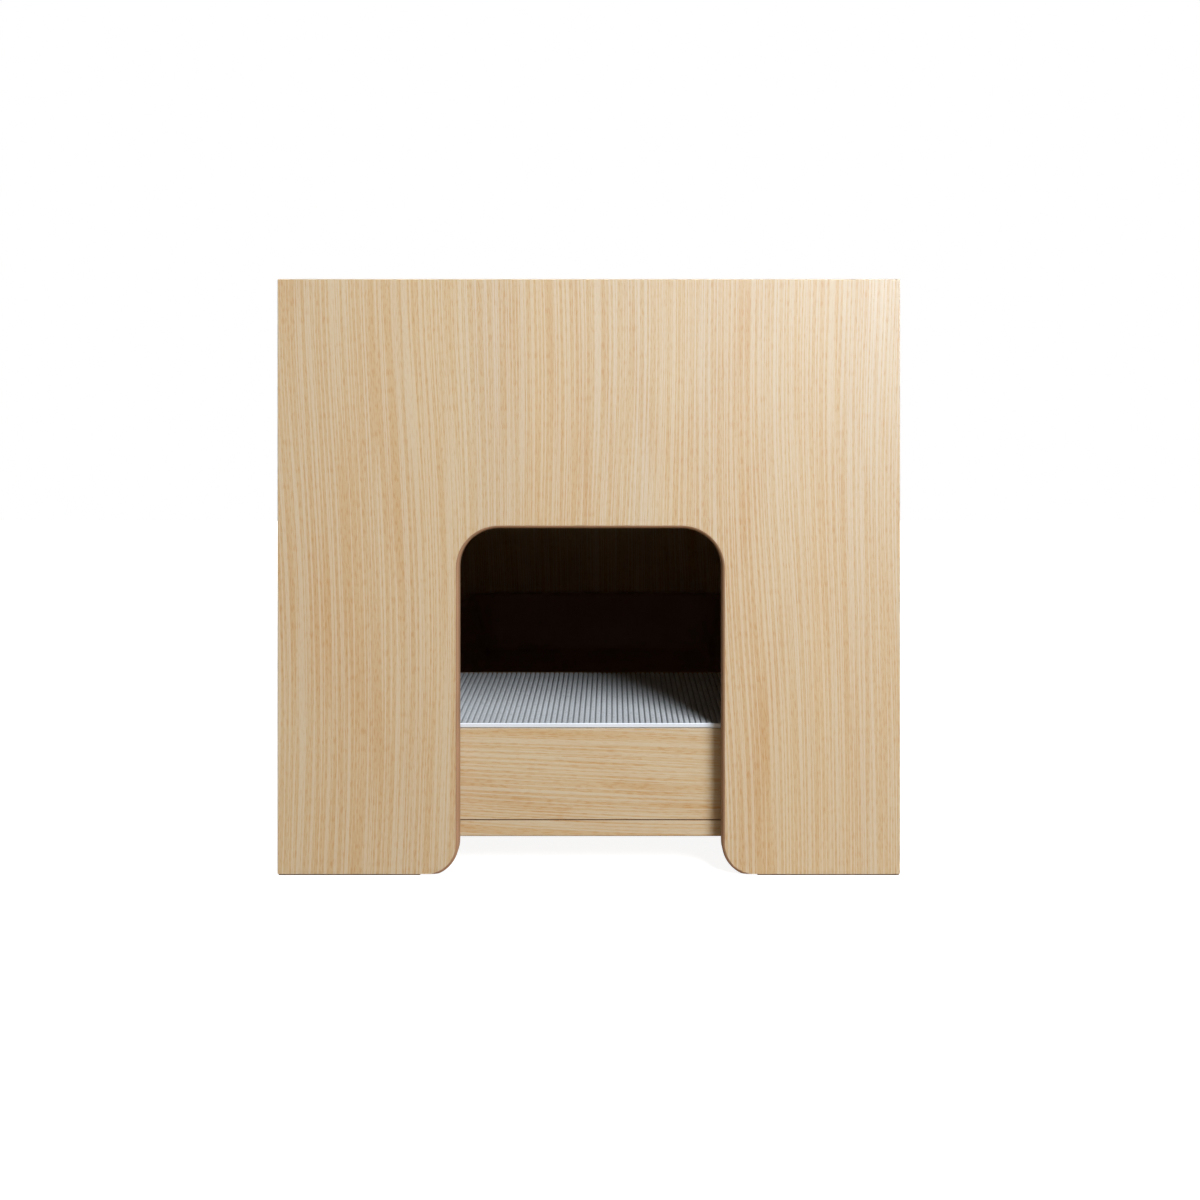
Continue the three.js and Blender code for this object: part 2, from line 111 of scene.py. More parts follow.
class CABINET_PG_colours(bpy.types.PropertyGroup):
    oak_pale: colour("Oak pale", "Pale fibres of the laminate", (0.593, 0.557, 0.457))
    oak: colour("Oak", "Ground of the laminate", (0.532, 0.409, 0.251))
    # painted highlight: this paler colour on the boards' eased edges stands for the light they
    # catch
    oak_edge_painted_highlight: colour("Oak edge", "Eased edges of the laminate boards", (0.60, 0.52, 0.41))
    oak_dark: colour("Oak dark", "Figure and pores of the laminate", (0.467, 0.281, 0.12))
    lipping: colour("Lipping", "Edging round the arch", (0.285, 0.17, 0.103))
    mat: colour("Mat", "Ribs of the mat", (0.44, 0.48, 0.52))
    # painted light: the mat's front face is coloured paler than the ribs, for the light from the
    # front that it catches
    mat_edge: colour("Mat edge", "Plain front edge of the mat", (0.693, 0.76, 0.85))
    pan: colour("Pan", "Litter pan", (0.27, 0.18, 0.115))
    felt: colour("Felt", "Strips under the feet", (0.24, 0.18, 0.14))
    steel: colour("Steel", "Hinges, screws and strike plates", (0.56, 0.56, 0.57))
    latch: colour("Latch", "Push latches", (0.68, 0.67, 0.64))
    zinc: colour("Zinc", "Cam locks", (0.36, 0.36, 0.37))
    beech: colour("Beech", "Dowels", (0.62, 0.46, 0.29))
    floor: colour("Floor", "Floor under the cabinet", (0.35, 0.35, 0.35))
    floor_bounce: colour("Floor bounce", "Light that the floor sends back", (0.30, 0.235, 0.16))


def sizes():
    return bpy.context.scene.cabinet_sizes


def colours():
    return bpy.context.scene.cabinet_colours


# ---- node helpers -------------------------------------------------------------------------------
class Shader:
    """A material's node tree, built one named step at a time."""

    def __init__(self, name):
        self.material = bpy.data.materials.new(name)
        self.material.use_nodes = True
        self.nodes = self.material.node_tree.nodes
        self.links = self.material.node_tree.links
        self.surface = self.nodes["Principled BSDF"]
        self.place = self.nodes.new("ShaderNodeTexCoord").outputs["Object"]

    def feed(self, socket, value):
        if isinstance(value, bpy.types.NodeSocket):
            self.links.new(value, socket)
        else:
            socket.default_value = value

    def shifted(self, amount, axis):
        """The place, moved along one axis."""
        offset = self.nodes.new("ShaderNodeCombineXYZ")
        self.links.new(amount, offset.inputs[axis])
        add = self.nodes.new("ShaderNodeVectorMath")
        add.operation = "ADD"
        self.links.new(self.place, add.inputs[0])
        self.links.new(offset.outputs[0], add.inputs[1])
        return add.outputs[0]

    def noise(self, per_metre, detail=3.0, roughness=0.55, distortion=0.0, place=None):
        """Noise with its own number of cells to the metre along X, Y and Z."""
        mapping = self.nodes.new("ShaderNodeMapping")
        mapping.inputs["Scale"].default_value = per_metre
        self.links.new(place or self.place, mapping.inputs["Vector"])
        noise = self.nodes.new("ShaderNodeTexNoise")
        noise.inputs["Scale"].default_value = 1.0
        noise.inputs["Detail"].default_value = detail
        noise.inputs["Roughness"].default_value = roughness
        noise.inputs["Distortion"].default_value = distortion
        self.links.new(mapping.outputs["Vector"], noise.inputs["Vector"])
        return noise.outputs["Fac"]

    def math(self, operation, a, b=0.0, c=0.0):
        node = self.nodes.new("ShaderNodeMath")
        node.operation = operation
        for socket, value in zip(node.inputs, (a, b, c)):
            self.feed(socket, value)
        return node.outputs[0]

    def spread(self, value, low, high, to_low=0.0, to_high=1.0):
        """A range of a value spread over another range, and held at its ends."""
        node = self.nodes.new("ShaderNodeMapRange")
        self.feed(node.inputs["Value"], value)
        ends = {"From Min": low, "From Max": high, "To Min": to_low, "To Max": to_high}
        for name, number in ends.items():
            node.inputs[name].default_value = number
        return node.outputs["Result"]

    def mix(self, factor, a, b, blend="MIX"):
        node = self.nodes.new("ShaderNodeMix")
        node.data_type = "RGBA"
        node.blend_type = blend
        self.feed(node.inputs["Factor"], factor)
        for socket, value in ((node.inputs[6], a), (node.inputs[7], b)):
            self.feed(socket, value if isinstance(value, bpy.types.NodeSocket) else (*value, 1.0))
        return node.outputs[2]

    def bump(self, height, depth, strength=1.0):
        node = self.nodes.new("ShaderNodeBump")
        node.inputs["Strength"].default_value = strength
        node.inputs["Distance"].default_value = depth
        self.links.new(height, node.inputs["Height"])
        self.links.new(node.outputs["Normal"], self.surface.inputs["Normal"])

    def finish(self, base, roughness, metallic=0.0, specular=0.5):
        self.feed(self.surface.inputs["Base Color"], base)
        self.feed(self.surface.inputs["Roughness"], roughness)
        self.surface.inputs["Metallic"].default_value = metallic
        self.surface.inputs["Specular IOR Level"].default_value = specular
        return self.material


def stretched(across, along, axis):
    """Cells to the metre for a grain that runs along one axis."""
    cells = [across, across, across]
    cells["XYZ".index(axis)] = along
    return tuple(cells)


# ---- materials ----------------------------------------------------------------------------------
GRAIN_WANDER = 0.055  # metres sideways for the whole range of the noise
RINGS_PER_RISE = 22.0

# The layers of the oak's grain: cells to the metre across and along it, the noise's detail and
# roughness, and the part of its range that is spread from none to full.
GRAIN_LAYERS = {
    "strips": (9, 1.0, 1.0, 0.55, 0.42, 0.62),  # where the rings show, and where they're faint
    "bands": (15, 0.5, 1.5, 0.55, 0.32, 0.68),
    "streaks": (150, 1.6, 2.0, 0.6, 0.34, 0.66),
    "threads": (420, 3.5, 2.0, 0.6, 0.42, 0.64),
    "fibres": (850, 4, 1.0, 0.5, 0.45, 0.59),
    "pores": (1000, 130, 1.0, 0.5, 0.50, 0.64),
    "hue": (24, 0.6, 1.5, 0.55, 0.35, 0.65),
}
RINGS_DARK = 0.24
DARK_SHARES = {"bands": 0.32, "streaks": 0.04, "pores": 0.52}
THREADS_PALE = 0.06
FIBRES_PALE = 0.44
GREY_TINT = (0.992, 1.0, 1.02)
GOLD_TINT = (1.008, 0.994, 0.955)


def oak_laminate(axis, across):
    """Printed oak on board: bands, cathedral figure, pale fibres and short dark pores.

    The grain runs along one axis, and wanders across the board's face."""
    name = "oak_laminate_" + (axis + across).lower()
    if name in bpy.data.materials:
        return bpy.data.materials[name]
    c = colours()
    s = Shader(name)
    # the grain wanders sideways as it runs along the board
    wander = s.noise(stretched(5.0, 1.7, axis), detail=0.5, roughness=0.4)
    drift = s.math("MULTIPLY", s.math("SUBTRACT", wander, 0.5), GRAIN_WANDER)
    grain = s.shifted(drift, across)
    layers = {}
    for layer, (cells_across, cells_along, detail, rough, low, high) in GRAIN_LAYERS.items():
        field = s.noise(stretched(cells_across, cells_along, axis), detail, rough, place=grain)
        layers[layer] = s.spread(field, low, high)
    # growth rings: level lines of a soft noise
    rise = s.noise(stretched(4.0, 0.55, axis), 0.5, 0.4, place=grain)
    rings = s.math("SINE", s.math("MULTIPLY", rise, RINGS_PER_RISE * 2 * math.pi))
    figure = s.math("MULTIPLY", s.spread(rings, 0.1, 1.0), layers["strips"])
    dark = s.math("MULTIPLY", figure, RINGS_DARK)
    for layer, share in DARK_SHARES.items():
        dark = s.math("MULTIPLY_ADD", layers[layer], share, dark)
    tone = s.mix(dark, tuple(c.oak), tuple(c.oak_dark))
    threads = s.math("MULTIPLY", layers["threads"], THREADS_PALE)
    pale = s.math("MULTIPLY_ADD", layers["fibres"], FIBRES_PALE, threads)
    tone = s.mix(pale, tone, tuple(c.oak_pale))
    # wide strips that lean to grey and to gold
    tone = s.mix(1.0, tone, s.mix(layers["hue"], GREY_TINT, GOLD_TINT), "MULTIPLY")
    relief = s.math("MULTIPLY_ADD", layers["pores"], -0.6, layers["fibres"])
    s.bump(relief, 0.05 * MM, 0.5)
    return s.finish(tone, s.spread(layers["streaks"], 0.0, 1.0, 0.47, 0.57), specular=0.2)


def plain_plastic(name, base, roughness, specular=0.45):
    """Moulded plastic: a fine spark-eroded skin and slight unevenness of tone and gloss."""
    if name in bpy.data.materials:
        return bpy.data.materials[name]
    s = Shader(name)
    skin = s.noise((1400, 1400, 1400), 2.0)
    cloud = s.noise((14, 14, 14), 3.0)
    dark = tuple(0.9 * x for x in base)
    s.bump(skin, 0.04 * MM, 0.6)
    gloss = s.spread(cloud, 0.3, 0.7, roughness - 0.05, roughness + 0.06)
    return s.finish(s.mix(s.spread(cloud, 0.3, 0.7), dark, tuple(base)), gloss, specular=specular)


def lipping_plastic():
    """Brown edging with a faint printed grain along the arch."""
    name = "lipping_brown"
    if name in bpy.data.materials:
        return bpy.data.materials[name]
    c = colours()
    s = Shader(name)
    streaks = s.spread(s.noise((900, 900, 30), 3.0), 0.3, 0.7)
    cloud = s.spread(s.noise((60, 60, 25), 3.0), 0.3, 0.7)
    base = tuple(c.lipping)
    pale = tuple(min(1.0, 1.35 * x) for x in base)
    mixed = s.math("MULTIPLY_ADD", cloud, 0.45, s.math("MULTIPLY", streaks, 0.45))
    s.bump(streaks, 0.03 * MM, 0.5)
    return s.finish(s.mix(mixed, base, pale), 0.6, specular=0.12)


def edge_line():
    """Painted shade: a dark brown finish on the base board's eased edges, for the shadow along its
    lower edge.
    """
    return plain_plastic("edge_line", tuple(0.55 * x for x in colours().lipping), 0.6, specular=0.1)


def eased_laminate():
    """Painted highlight: a paler line along the eased edges of the other boards, for the light that
    catches them.
    """
    return plain_plastic("eased_laminate", tuple(colours().oak_edge_painted_highlight), 0.55, specular=0.2)


def brushed_steel(name, base, roughness=0.34):
    """Metal with a fine brush along its height and slight clouds of tone."""
    if name in bpy.data.materials:
        return bpy.data.materials[name]
    s = Shader(name)
    brush = s.noise((4200, 4200, 120), 2.0)
    cloud = s.noise((180, 180, 180), 3.0)
    dark = tuple(0.72 * x for x in base)
    s.bump(brush, 0.03 * MM, 0.4)
    gloss = s.spread(brush, 0.3, 0.7, roughness - 0.08, roughness + 0.1)
    return s.finish(s.mix(s.spread(cloud, 0.3, 0.7), dark, tuple(base)), gloss, metallic=1.0)


def pressed_felt():
    """Brown felt: short hair in tufts, with a faint sheen."""
    name = "pressed_felt"
    if name in bpy.data.materials:
        return bpy.data.materials[name]
    c = colours()
    s = Shader(name)
    hair = s.noise((2600, 2600, 2600), 5.0, 0.7, distortion=1.5)
    tuft = s.noise((350, 350, 350), 3.0)
    base = tuple(c.felt)
    pale = tuple(1.6 * x for x in base)
    s.bump(hair, 0.3 * MM, 0.8)
    s.surface.inputs["Sheen Weight"].default_value = 0.3
    return s.finish(s.mix(s.math("MULTIPLY", hair, tuft), base, pale), 0.95, specular=0.2)


def beech_wood():
    """Pale beech with the short flecks of its rays."""
    name = "beech_rod"
    if name in bpy.data.materials:
        return bpy.data.materials[name]
    s = Shader(name)
    flecks = s.spread(s.noise((700, 700, 60), 3.0), 0.3, 0.7)
    base = tuple(colours().beech)
    s.bump(flecks, 0.05 * MM, 0.5)
    return s.finish(s.mix(flecks, tuple(0.8 * x for x in base), base), 0.7, specular=0.3)


# ---- mesh helpers -------------------------------------------------------------------------------
def piece_from(name, vertices, faces, materials, smooth=False):
    mesh = bpy.data.meshes.new(name)
    mesh.from_pydata([tuple(v) for v in vertices], [], faces)
    mesh.update()
    obj = bpy.data.objects.new(name, mesh)
    bpy.context.scene.collection.objects.link(obj)
    for material in materials:
        mesh.materials.append(material)
    tidy = bmesh.new()
    tidy.from_mesh(mesh)
    bmesh.ops.recalc_face_normals(tidy, faces=tidy.faces)
    tidy.to_mesh(mesh)
    tidy.free()
    for polygon in mesh.polygons:
        polygon.use_smooth = smooth
    return obj


def stands_for(obj, node, body):
    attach(obj, body)
    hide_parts(node)


def ease_edges(obj, width):
    bevel = obj.modifiers.new("eased_edges", "BEVEL")
    bevel.width = width
    bevel.segments = 2
    bevel.limit_method = "ANGLE"
    bevel.angle_limit = math.radians(50)
    return bevel


def dress(node, material, ease=0.0):
    """A node of the construction keeps its shape and gets its finish."""
    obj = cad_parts[node]
    obj.data.materials.clear()
    obj.data.materials.append(material)
    if ease:
        weld = obj.modifiers.new("weld", "WELD")
        weld.merge_threshold = 0.01 * MM
        ease_edges(obj, ease)
    return obj


def edge_finish(obj, material):
    """The eased edges get a material of their own: a painted highlight on most boards, painted
    shade on the base board.
    """
    obj.data.materials.append(material)
    obj.modifiers["eased_edges"].material = len(obj.data.materials) - 1


def arc(cx, cz, radius, start, stop, steps):
    angles = np.radians(np.linspace(start, stop, steps + 1))
    return [(cx + radius * math.cos(a), cz + radius * math.sin(a)) for a in angles]


def arch_path(inset, steps):
    """The arch from its left foot over the top to its right foot, moved inwards by inset."""
    foot_x = ARCH_HALF + FOOT_RADIUS
    foot_z = PANEL_FOOT + FOOT_RADIUS
    foot = FOOT_RADIUS + inset
    top_x = ARCH_HALF - ARCH_RADIUS
    top_z = ARCH_TOP - ARCH_RADIUS
    top = ARCH_RADIUS - inset
    path = arc(ARCH_CENTER - foot_x, foot_z, foot, -90, 0, steps)
    path += arc(ARCH_CENTER - top_x, top_z, top, 180, 90, steps)
    path += arc(ARCH_CENTER + top_x, top_z, top, 90, 0, steps)
    path += arc(ARCH_CENTER + foot_x, foot_z, foot, 180, 270, steps)
    return path


def extruded(name, outline, y0, y1, material):
    """A board with its outline in X and Z, between two planes in Y."""
    n = len(outline)
    vertices = [(x, y0, z) for x, z in outline] + [(x, y1, z) for x, z in outline]
    faces = [tuple(range(n)), tuple(range(2 * n - 1, n - 1, -1))]
    faces += [(i, n + i, n + (i + 1) % n, (i + 1) % n) for i in range(n)]
    return piece_from(name, vertices, faces, [material])


# ---- boards -------------------------------------------------------------------------------------
def end_board(node, outline):
    """One of the two end panels, cut to its outline."""
    low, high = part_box(node)
    board = extruded(node + "_board", outline, low.y, high.y, oak_laminate("Z", "X"))
    bevel = ease_edges(board, sizes().eased_edge)
    # painted highlight on the eased edges of the end panels
    edge_finish(board, eased_laminate())
    stands_for(board, node, BODY)
    return board, bevel


def front_board():
    low, high = FRONT_LOW, FRONT_HIGH
    outline = [(low.x, high.z), (low.x, low.z)]
    outline += arch_path(0, ARCH_STEPS)
    outline += [(high.x, low.z), (high.x, high.z)]
    board, bevel = end_board("front_panel", outline)
    # only the outer edges are eased: the arch's own edge stays sharp against its lipping
    n = len(outline)
    outer = {0, 1, n - 2, n - 1}
    weights = board.data.attributes.new("bevel_weight_edge", "FLOAT", "EDGE")
    for edge in board.data.edges:
        weights.data[edge.index].value = float(all(v % n in outer for v in edge.vertices))
    bevel.limit_method = "WEIGHT"


def rear_board():
    low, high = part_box("rear_panel")
    base_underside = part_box("base_panel")[0].z
    foot_x = ARCH_HALF + FOOT_RADIUS
    foot_z = PANEL_FOOT + FOOT_RADIUS
    outline = [(low.x, high.z), (low.x, low.z)]
    outline += arc(-foot_x, foot_z, FOOT_RADIUS, -90, 0, REAR_FOOT_STEPS)
    outline += [(-ARCH_HALF, base_underside), (ARCH_HALF, base_underside)]
    outline += arc(foot_x, foot_z, FOOT_RADIUS, 180, 270, REAR_FOOT_STEPS)
    outline += [(high.x, low.z), (high.x, high.z)]
    end_board("rear_panel", outline)


# Each board's grain, and the axis across it on the board's main face.
BOARD_GRAIN = {
    "left_side_panel": "ZY",
    "top_panel": "YX",
    "base_panel": "XZ",
    "platform_front_board": "XZ",
    "platform_rear_board": "XZ",
    "platform_deck": "XY",
    "platform_end_left": "YZ",
    "platform_end_right": "YZ",
    "pan_cleat_left": "YZ",
    "pan_cleat_right": "YZ",
    "front_door": "ZY",
    "rear_door": "ZY",
}


def other_boards():
    for node, (axis, across) in BOARD_GRAIN.items():
        # the base board's eased edges get painted shade, a dark brown line for the shadow along its
        # lower edge
        is_base = node == "base_panel"
        ease = sizes().lower_edge if is_base else sizes().eased_edge
        board = dress(node, oak_laminate(axis, across), ease)
        edge_finish(board, edge_line() if is_base else eased_laminate())


# ---- lipping ------------------------------------------------------------------------------------
GLUE_LINE = 0.1 * MM


def arch_lipping():
    """Edging swept round the arch, with round front corners and trimmed flush at the feet."""
    y0, y1 = FRONT_LOW.y, FRONT_HIGH.y
    r = sizes().lipping_round
    corner = [math.radians(a) for a in (0, 22.5, 45, 67.5, 90)]
    section = [(GLUE_LINE, y1), (GLUE_LINE, y0)]
    section += [(LIPPING - r + r * math.sin(a), y0 + r - r * math.cos(a)) for a in corner]
    section += [(LIPPING - r + r * math.cos(a), y1 - r + r * math.sin(a)) for a in corner]
    rings = [
        [(x, y, max(z, PANEL_FOOT)) for x, z in arch_path(inset, ARCH_STEPS)]
        for inset, y in section
    ]
    n, m = len(rings[0]), len(rings)
    vertices = [rings[j][i] for i in range(n) for j in range(m)]
    faces = [
        (i * m + j, i * m + (j + 1) % m, (i + 1) * m + (j + 1) % m, (i + 1) * m + j)
        for i in range(n - 1)
        for j in range(m)
    ]
    faces += [tuple(range(m)), tuple((n - 1) * m + j for j in reversed(range(m)))]
    edging = piece_from("arch_edging", vertices, faces, [lipping_plastic()], smooth=True)
    edging.data.set_sharp_from_angle(angle=math.radians(40))
    stands_for(edging, "arch_lipping", BODY)


# ---- mat ----------------------------------------------------------------------------------------
# Half of a groove's section: its share of the groove's half width, and of its depth.
GROOVE_SECTION = ((1.0, 0.0), (0.5, 0.24), (0.24, 1.0))
MAT_FRONT_EASE = 0.5 * MM
MAT_REAR_EASE = 0.4 * MM
MAT_UNDERCUT = 1.1 * MM


def ribbed_mat():
    """Flat ribs with bevelled grooves between them, stopped by a plain lip in front."""
    s = sizes()
    low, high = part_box("litter_mat")
    half_span = s.rib_count * s.rib_pitch / 2
    half_groove = s.groove_width / 2
    section = [(-across, down) for across, down in GROOVE_SECTION]
    section += [(across, down) for across, down in reversed(GROOVE_SECTION)]
    columns = [(low.x, 0.0)]
    for i in range(s.rib_count + 1):
        middle = i * s.rib_pitch - half_span
        columns += [
            (middle + across * half_groove, down * s.groove_depth) for across, down in section
        ]
    columns.append((high.x, 0.0))
    lip = s.mat_lip
    ridge_ends = low.y + 3 * lip, high.y - 0.5 * MM
    # each row: its place, the grooves' share of their depth, and how far the flats have dropped
    rows = [
        (low.y, 0.0, MAT_FRONT_EASE),
        (low.y + MAT_FRONT_EASE, 0.0, 0.0),
        (low.y + lip, 0.0, 0.0),
        (low.y + 1.6 * lip, 1.0, 0.0),
        *((y, 1.0, 0.0) for y in np.linspace(*ridge_ends, 10)),
        (high.y, 1.0, MAT_REAR_EASE),
    ]
    n = len(columns)
    vertices = [
        (x, y, high.z - drop - down * share) for y, share, drop in rows for x, down in columns
    ]
    bottom = len(vertices)
    # the lower front edge is cut back, so a dark line parts the mat from the step
    under_rows = [low.y + MAT_UNDERCUT, low.y + 1.2 * MAT_UNDERCUT] + [y for y, _, _ in rows[2:]]
    vertices += [(x, y, low.z) for y in under_rows for x, _ in columns]
    front = len(vertices)
    vertices += [(x, low.y, low.z + MAT_UNDERCUT) for x, _ in columns]
    faces = []
    last = (len(rows) - 1) * n
    for r in range(len(rows) - 1):
        for i in range(n - 1):
            a = r * n + i
            faces.append((a, a + 1, a + n + 1, a + n))
            faces.append((bottom + a, bottom + a + n, bottom + a + n + 1, bottom + a + 1))
        for i in (0, n - 1):
            a = r * n + i
            faces.append((a, a + n, bottom + a + n, bottom + a))
    for i in range(n - 1):
        faces.append((i, front + i, front + i + 1, i + 1))
        faces.append((front + i, bottom + i, bottom + i + 1, front + i + 1))
        faces.append((last + i, last + i + 1, bottom + last + i + 1, bottom + last + i))
    faces += [(i, bottom + i, front + i) for i in (0, n - 1)]
    mat = piece_from("ribbed_mat", vertices, faces, [mat_ribs(), mat_edge(), mat_grooves()])
    for polygon in mat.data.polygons:
        # painted light: the flat front strip gets the paler edge colour
        if polygon.center.y < low.y + lip:
            polygon.material_index = 1
        # painted shade: the grooves' lower faces get the darker groove colour
        elif polygon.center.z < high.z - 0.3 * s.groove_depth:
            polygon.material_index = 2
    stands_for(mat, "litter_mat", "litter_mat")


def mat_ribs():
    """Grey moulded ribs with dusty flecks and slight clouds of tone."""
    s = Shader("mat_ribs")
    base = tuple(colours().mat)
    cloud = s.spread(s.noise((30, 12, 30), 3.0), 0.3, 0.7)
    specks = s.spread(s.noise((700, 350, 700), 3.0), 0.54, 0.66)
    shade = s.math("MULTIPLY_ADD", specks, 0.55, s.math("MULTIPLY", cloud, 0.25))
    s.bump(s.noise((1100, 550, 1100), 2.0), 0.15 * MM, 0.6)
    return s.finish(s.mix(shade, base, tuple(0.62 * x for x in base)), 0.55, specular=0.3)


def mat_grooves():
    # painted shade: the groove faces are coloured darker than the ribs, for the shade in the
    # grooves
    shaded = tuple(0.68 * x for x in colours().mat)
    return plain_plastic("mat_grooves", shaded, 0.7, specular=0.15)


def mat_edge():
    # painted light: a paler copy of the mat's grey on its front face
    return plain_plastic("mat_edge", tuple(colours().mat_edge), 0.5, specular=0.35)


# ---- litter pan ---------------------------------------------------------------------------------
PAN_LIP = 6 * MM  # how far the rim turns down
PAN_CORNER_STEPS = 12


def rounded_ring(half_x, half_y, radius, z, steps):
    ring = []
    for quarter, (sx, sy) in enumerate(((1, 1), (-1, 1), (-1, -1), (1, -1))):
        for i in range(steps + 1):
            a = math.radians(90) * (quarter + i / steps)
            ring.append((sx * (half_x - radius) + radius * math.cos(a),
                         sy * (half_y - radius) + radius * math.sin(a), z))
    return ring


def litter_pan():
    """A tapered moulded tray with a turned-down rim and a softly rounded floor."""
    s = sizes()
    low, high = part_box("litter_pan")
    half_x, half_y = (high.x - low.x) / 2, (high.y - low.y) / 2
    height = high.z - low.z
    wall, rim = s.pan_wall, s.pan_rim
    foot = s.pan_taper + rim
    # each step of the section: how far in from the rim's edge, and how high
    outside = [
        (foot + 8 * MM, 0), (foot + 1 * MM, 0), (foot - 2 * MM, 1.2 * MM),
        (foot - 4 * MM, 4 * MM), (foot - 5 * MM, 9 * MM), (rim + 1 * MM, height - PAN_LIP - 2 * MM),
    ]
    turned_rim = [
        (rim - 1.5 * MM, height - wall), (wall, height - wall), (wall, height - PAN_LIP),
        (0, height - PAN_LIP), (0, height - 2 * MM), (0.6 * MM, height - 0.6 * MM),
        (2 * MM, height), (rim - 1 * MM, height), (rim + 1.2 * MM, height - 0.8 * MM),
    ]
    inside = [
        (rim + wall, height - 3 * MM), (foot - 5 * MM + wall, 12 * MM),
        (foot - 3 * MM + wall, 6 * MM), (foot + 1 * MM + wall, wall + 1 * MM),
        (foot + 8 * MM + wall, wall),
    ]
    rings = [
        rounded_ring(half_x - i, half_y - i, s.pan_corner - i / 2, z, PAN_CORNER_STEPS)
        for i, z in outside + turned_rim + inside
    ]
    n = len(rings[0])
    vertices = [v for ring in rings for v in ring]
    faces = [
        (r * n + i, r * n + (i + 1) % n, (r + 1) * n + (i + 1) % n, (r + 1) * n + i)
        for r in range(len(rings) - 1)
        for i in range(n)
    ]
    faces += [tuple(reversed(range(n))), tuple((len(rings) - 1) * n + i for i in range(n))]
    middle = (low + high) / 2
    vertices = [(x + middle.x, y + middle.y, z + low.z) for x, y, z in vertices]
    finish = plain_plastic("pan_moulding", tuple(colours().pan), 0.55, specular=0.25)
    pan = piece_from("litter_pan_tray", vertices, faces, [finish], smooth=True)
    pan.data.set_sharp_from_angle(angle=math.radians(50))
    stands_for(pan, "litter_pan", "litter_pan")


# ---- hardware -----------------------------------------------------------------------------------
LEAF = 1.2 * MM  # thickness of a hinge leaf
LEAF_SCREW_IN = 5 * MM  # from the leaf's inner edge
LEAF_SCREWS = (0.18, 0.82)  # shares of the leaf's length
LATCH_SCREW_IN = 21 * MM  # from the latch's inner end
LATCH_EAR = 4 * MM  # from the ear's tip to its screw
LATCH_EAR_THICK = 2.5 * MM
SCREW_SIDES = 24
SCREW_RISE = 0.35 * MM  # how far the head stands proud at most
SCREW_BACK = 0.6 * MM
RECESS_DEPTH = 0.5 * MM


def hardware_finish():
    c = colours()
    steel = brushed_steel("brushed_steel", tuple(c.steel))
    zinc = brushed_steel("cast_zinc", tuple(c.zinc), 0.45)
    latch = plain_plastic("latch_moulding", tuple(c.latch), 0.45)
    finishes = {
        "cam_lock": zinc,
        "cam_bolt": steel,
        "dowel": beech_wood(),
        "felt_foot": pressed_felt(),
        "hinge": steel,
        "strike_plate": steel,
        "latch": latch,
    }
    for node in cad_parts:
        for start, material in finishes.items():
            if node.startswith(start):
                dress(node, material)
    for end in ("front", "rear"):
        ease_edges(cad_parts["latch_housing_" + end], 0.6 * MM)


def screw(name, place, facing, body):
    """A countersunk screw's head with a cross recess, its face towards one axis."""
    radius = sizes().screw_head
    arm, slot_half = 0.62 * radius, 0.16 * radius
    rim = [(radius * math.cos(a), radius * math.sin(a))
           for a in np.linspace(0, 2 * math.pi, SCREW_SIDES, endpoint=False)]
    cross = []
    for turn in range(4):
        c, s = math.cos(turn * math.pi / 2), math.sin(turn * math.pi / 2)
        for u, v in ((arm, -slot_half), (arm, slot_half), (slot_half, slot_half)):
            cross.append((c * u - s * v, s * u + c * v))
    build = bmesh.new()

    def ring(points, height, scale=1.0):
        return [build.verts.new((x * scale, y * scale, height)) for x, y in points]

    back, edge = ring(rim, -SCREW_BACK, 0.7), ring(rim, 0.0)
    top = ring(rim, SCREW_RISE * 0.5, 0.93)
    mouth, floor = ring(cross, SCREW_RISE * 0.6), ring(cross, -RECESS_DEPTH, 0.9)
    for a, b in ((back, edge), (edge, top), (mouth, floor)):
        for i in range(len(a)):
            j = (i + 1) % len(a)
            build.faces.new((a[i], a[j], b[j], b[i]))
    edges = [build.edges.get((loop[i], loop[(i + 1) % len(loop)])) or
             build.edges.new((loop[i], loop[(i + 1) % len(loop)]))
             for loop in (top, mouth) for i in range(len(loop))]
    bmesh.ops.triangle_fill(build, edges=edges, use_beauty=True)
    build.faces.new(floor)
    build.faces.new(list(reversed(back)))
    bmesh.ops.recalc_face_normals(build, faces=build.faces)
    mesh = bpy.data.meshes.new(name)
    build.to_mesh(mesh)
    build.free()
    obj = bpy.data.objects.new(name, mesh)
    bpy.context.scene.collection.objects.link(obj)
    mesh.materials.append(brushed_steel("brushed_steel", tuple(colours().steel)))
    from_up = {"+y": (-90, 0, 0), "-y": (90, 0, 0), "-z": (180, 0, 0)}
    obj.rotation_euler = [math.radians(a) for a in from_up[facing]]
    obj.location = place
    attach(obj, body)


def hinge_screws():
    """Two screws in each hinge leaf, in line along the leaf."""
    for end, inward, outward in (("front", "+y", "-y"), ("rear", "-y", "+y")):
        door_low, door_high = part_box(end + "_door")
        door_edge = door_low.y if end == "front" else door_high.y
        for level in ("lower", "upper"):
            hinge = end + "_door_" + level
            low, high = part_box("hinge_leaf_fixed_" + hinge)
            panel_leaf = low.y + LEAF if end == "front" else high.y - LEAF
            x = low.x + LEAF_SCREW_IN
            for kind, y, facing, body in (
                ("panel", panel_leaf, inward, BODY),
                ("door", door_edge, outward, end + "_door"),
            ):
                for index, share in enumerate(LEAF_SCREWS):
                    z = low.z + share * (high.z - low.z)
                    screw(f"screw_{kind}_{hinge}_{index}", (x, y, z), facing, body)


